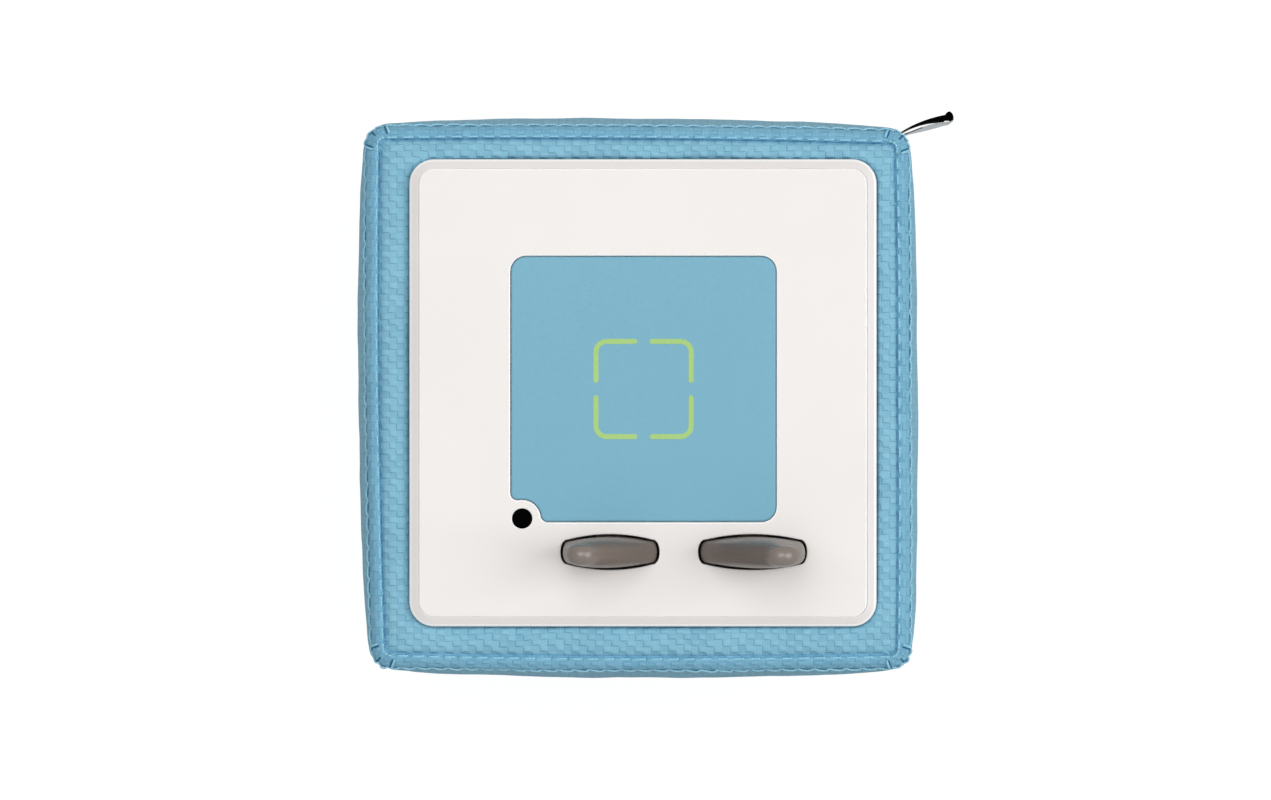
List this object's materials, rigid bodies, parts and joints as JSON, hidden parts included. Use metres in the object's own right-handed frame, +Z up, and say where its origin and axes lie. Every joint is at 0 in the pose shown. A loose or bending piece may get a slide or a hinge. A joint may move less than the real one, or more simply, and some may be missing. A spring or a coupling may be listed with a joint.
{
  "type": "audio story player",
  "caption": "Padded cloth cube that plays stories when a figure stands on its top pad; its plastic ears rock to change the volume, and a ribbon loop is sewn into one corner",
  "frame": {"origin": "on the surface the player stands on, on the axis of the round dock recess in the base, which is also the middle of the top plate", "axes": "+Z up out of the figure pad; +X to the right towards the large ear and the ribbon corner; +Y to the back, where the headphone socket is"},
  "size_m": [0.125, 0.1205, 0.15],
  "materials": {
    "cloth": "woven cloth",
    "foam": "open-cell foam",
    "ribbon": "satin ribbon",
    "plate_plastic": "fine matt moulded",
    "pad_rubber": "soft matt",
    "mark_print": "printed",
    "lens_plastic": "smoked, glossy",
    "lamp_resin": "clear resin",
    "ear_plastic": "satin moulded",
    "dark_plastic": "moulded",
    "base_plastic": "fine matt moulded",
    "screw_steel": "zinc plated",
    "pin_steel": "ground",
    "dark_rubber": "moulded",
    "grey_rubber": "moulded",
    "circuit_board": "solder mask",
    "chip_resin": "moulded",
    "plug_nylon": "moulded",
    "pressed_metal": "tinned",
    "contact_brass": "gold plated",
    "magnet_metal": "nickel plated",
    "speaker_steel": "black stoved",
    "cone_paper": "pressed",
    "gasket_foam": "closed-cell foam",
    "cell_sleeve": "shrink sleeve",
    "card_resin": "moulded",
    "lead_sleeve": "extruded",
    "strap_cloth": "woven"
  },
  "bodies": {
    "housing": {"fabric_cover": "cloth", "foam_jacket": "foam", "tag_loop": "ribbon", "top_plate": "plate_plastic", "figure_pad": "pad_rubber", "target_marks": "mark_print", "status_lens": "lens_plastic", "status_lamp": "lamp_resin", "ear_bracket": "dark_plastic", "bracket_screws": "screw_steel", "ear_pins": "pin_steel", "ear_pad_small": "dark_rubber", "ear_pad_large": "dark_rubber", "ear_board": "circuit_board", "ear_switches": "chip_resin", "reader_board": "circuit_board", "magnet_cup": "dark_plastic", "figure_magnet": "magnet_metal", "housing_collar": "dark_plastic", "housing_tub": "dark_plastic", "housing_screws": "screw_steel", "plate_screws": "screw_steel", "base_plate": "base_plastic", "base_screws": "screw_steel", "feet": "grey_rubber", "dock_contacts": "contact_brass", "contact_board": "circuit_board", "speaker_gasket": "gasket_foam", "speaker_frame": "speaker_steel", "speaker_magnet": "magnet_metal", "speaker_surround": "dark_rubber", "speaker_cone": "cone_paper", "speaker_screws": "screw_steel", "battery_cells": "cell_sleeve", "battery_tray": "dark_plastic", "battery_strap": "strap_cloth", "main_board": "circuit_board", "board_screws": "screw_steel", "main_chips": "chip_resin", "board_plugs": "plug_nylon", "shield_can": "pressed_metal", "card_socket": "pressed_metal", "memory_card": "card_resin", "headphone_jack": "lens_plastic", "jack_ring": "plate_plastic", "speaker_lead": "lead_sleeve", "battery_lead": "lead_sleeve", "ear_lead": "lead_sleeve"},
    "small_ear": {"ear_small": "ear_plastic"},
    "large_ear": {"ear_large": "ear_plastic"},
    "small_plunger": {"plunger_small": "plug_nylon"},
    "large_plunger": {"plunger_large": "plug_nylon"}
  },
  "joints": [
    {"name": "small_ear_tilt", "type": "hinge", "parent": "housing", "child": "small_ear", "pos_m": [-0.0067, -0.03236, 0.114], "axis": [-1, 0, 0], "range_deg": [0, 3], "stiffness_Nm_per_rad": 0.7, "deforming": ["ear_pad_small"]},
    {"name": "large_ear_tilt", "type": "hinge", "parent": "housing", "child": "large_ear", "pos_m": [0.02228, -0.03236, 0.114], "axis": [-1, 0, 0], "range_deg": [0, 3], "stiffness_Nm_per_rad": 0.7, "deforming": ["ear_pad_large"]},
    {"name": "small_plunger_press", "type": "slide", "parent": "housing", "child": "small_plunger", "axis": [0, 0, -1], "range_m": [0, 0.0005]},
    {"name": "large_plunger_press", "type": "slide", "parent": "housing", "child": "large_plunger", "axis": [0, 0, -1], "range_m": [0, 0.0005]}
  ],
  "couplings": [
    {"joint": "small_plunger_press", "follows": "small_ear_tilt", "m_per_rad": 0.0095},
    {"joint": "large_plunger_press", "follows": "large_ear_tilt", "m_per_rad": 0.0095}
  ]
}
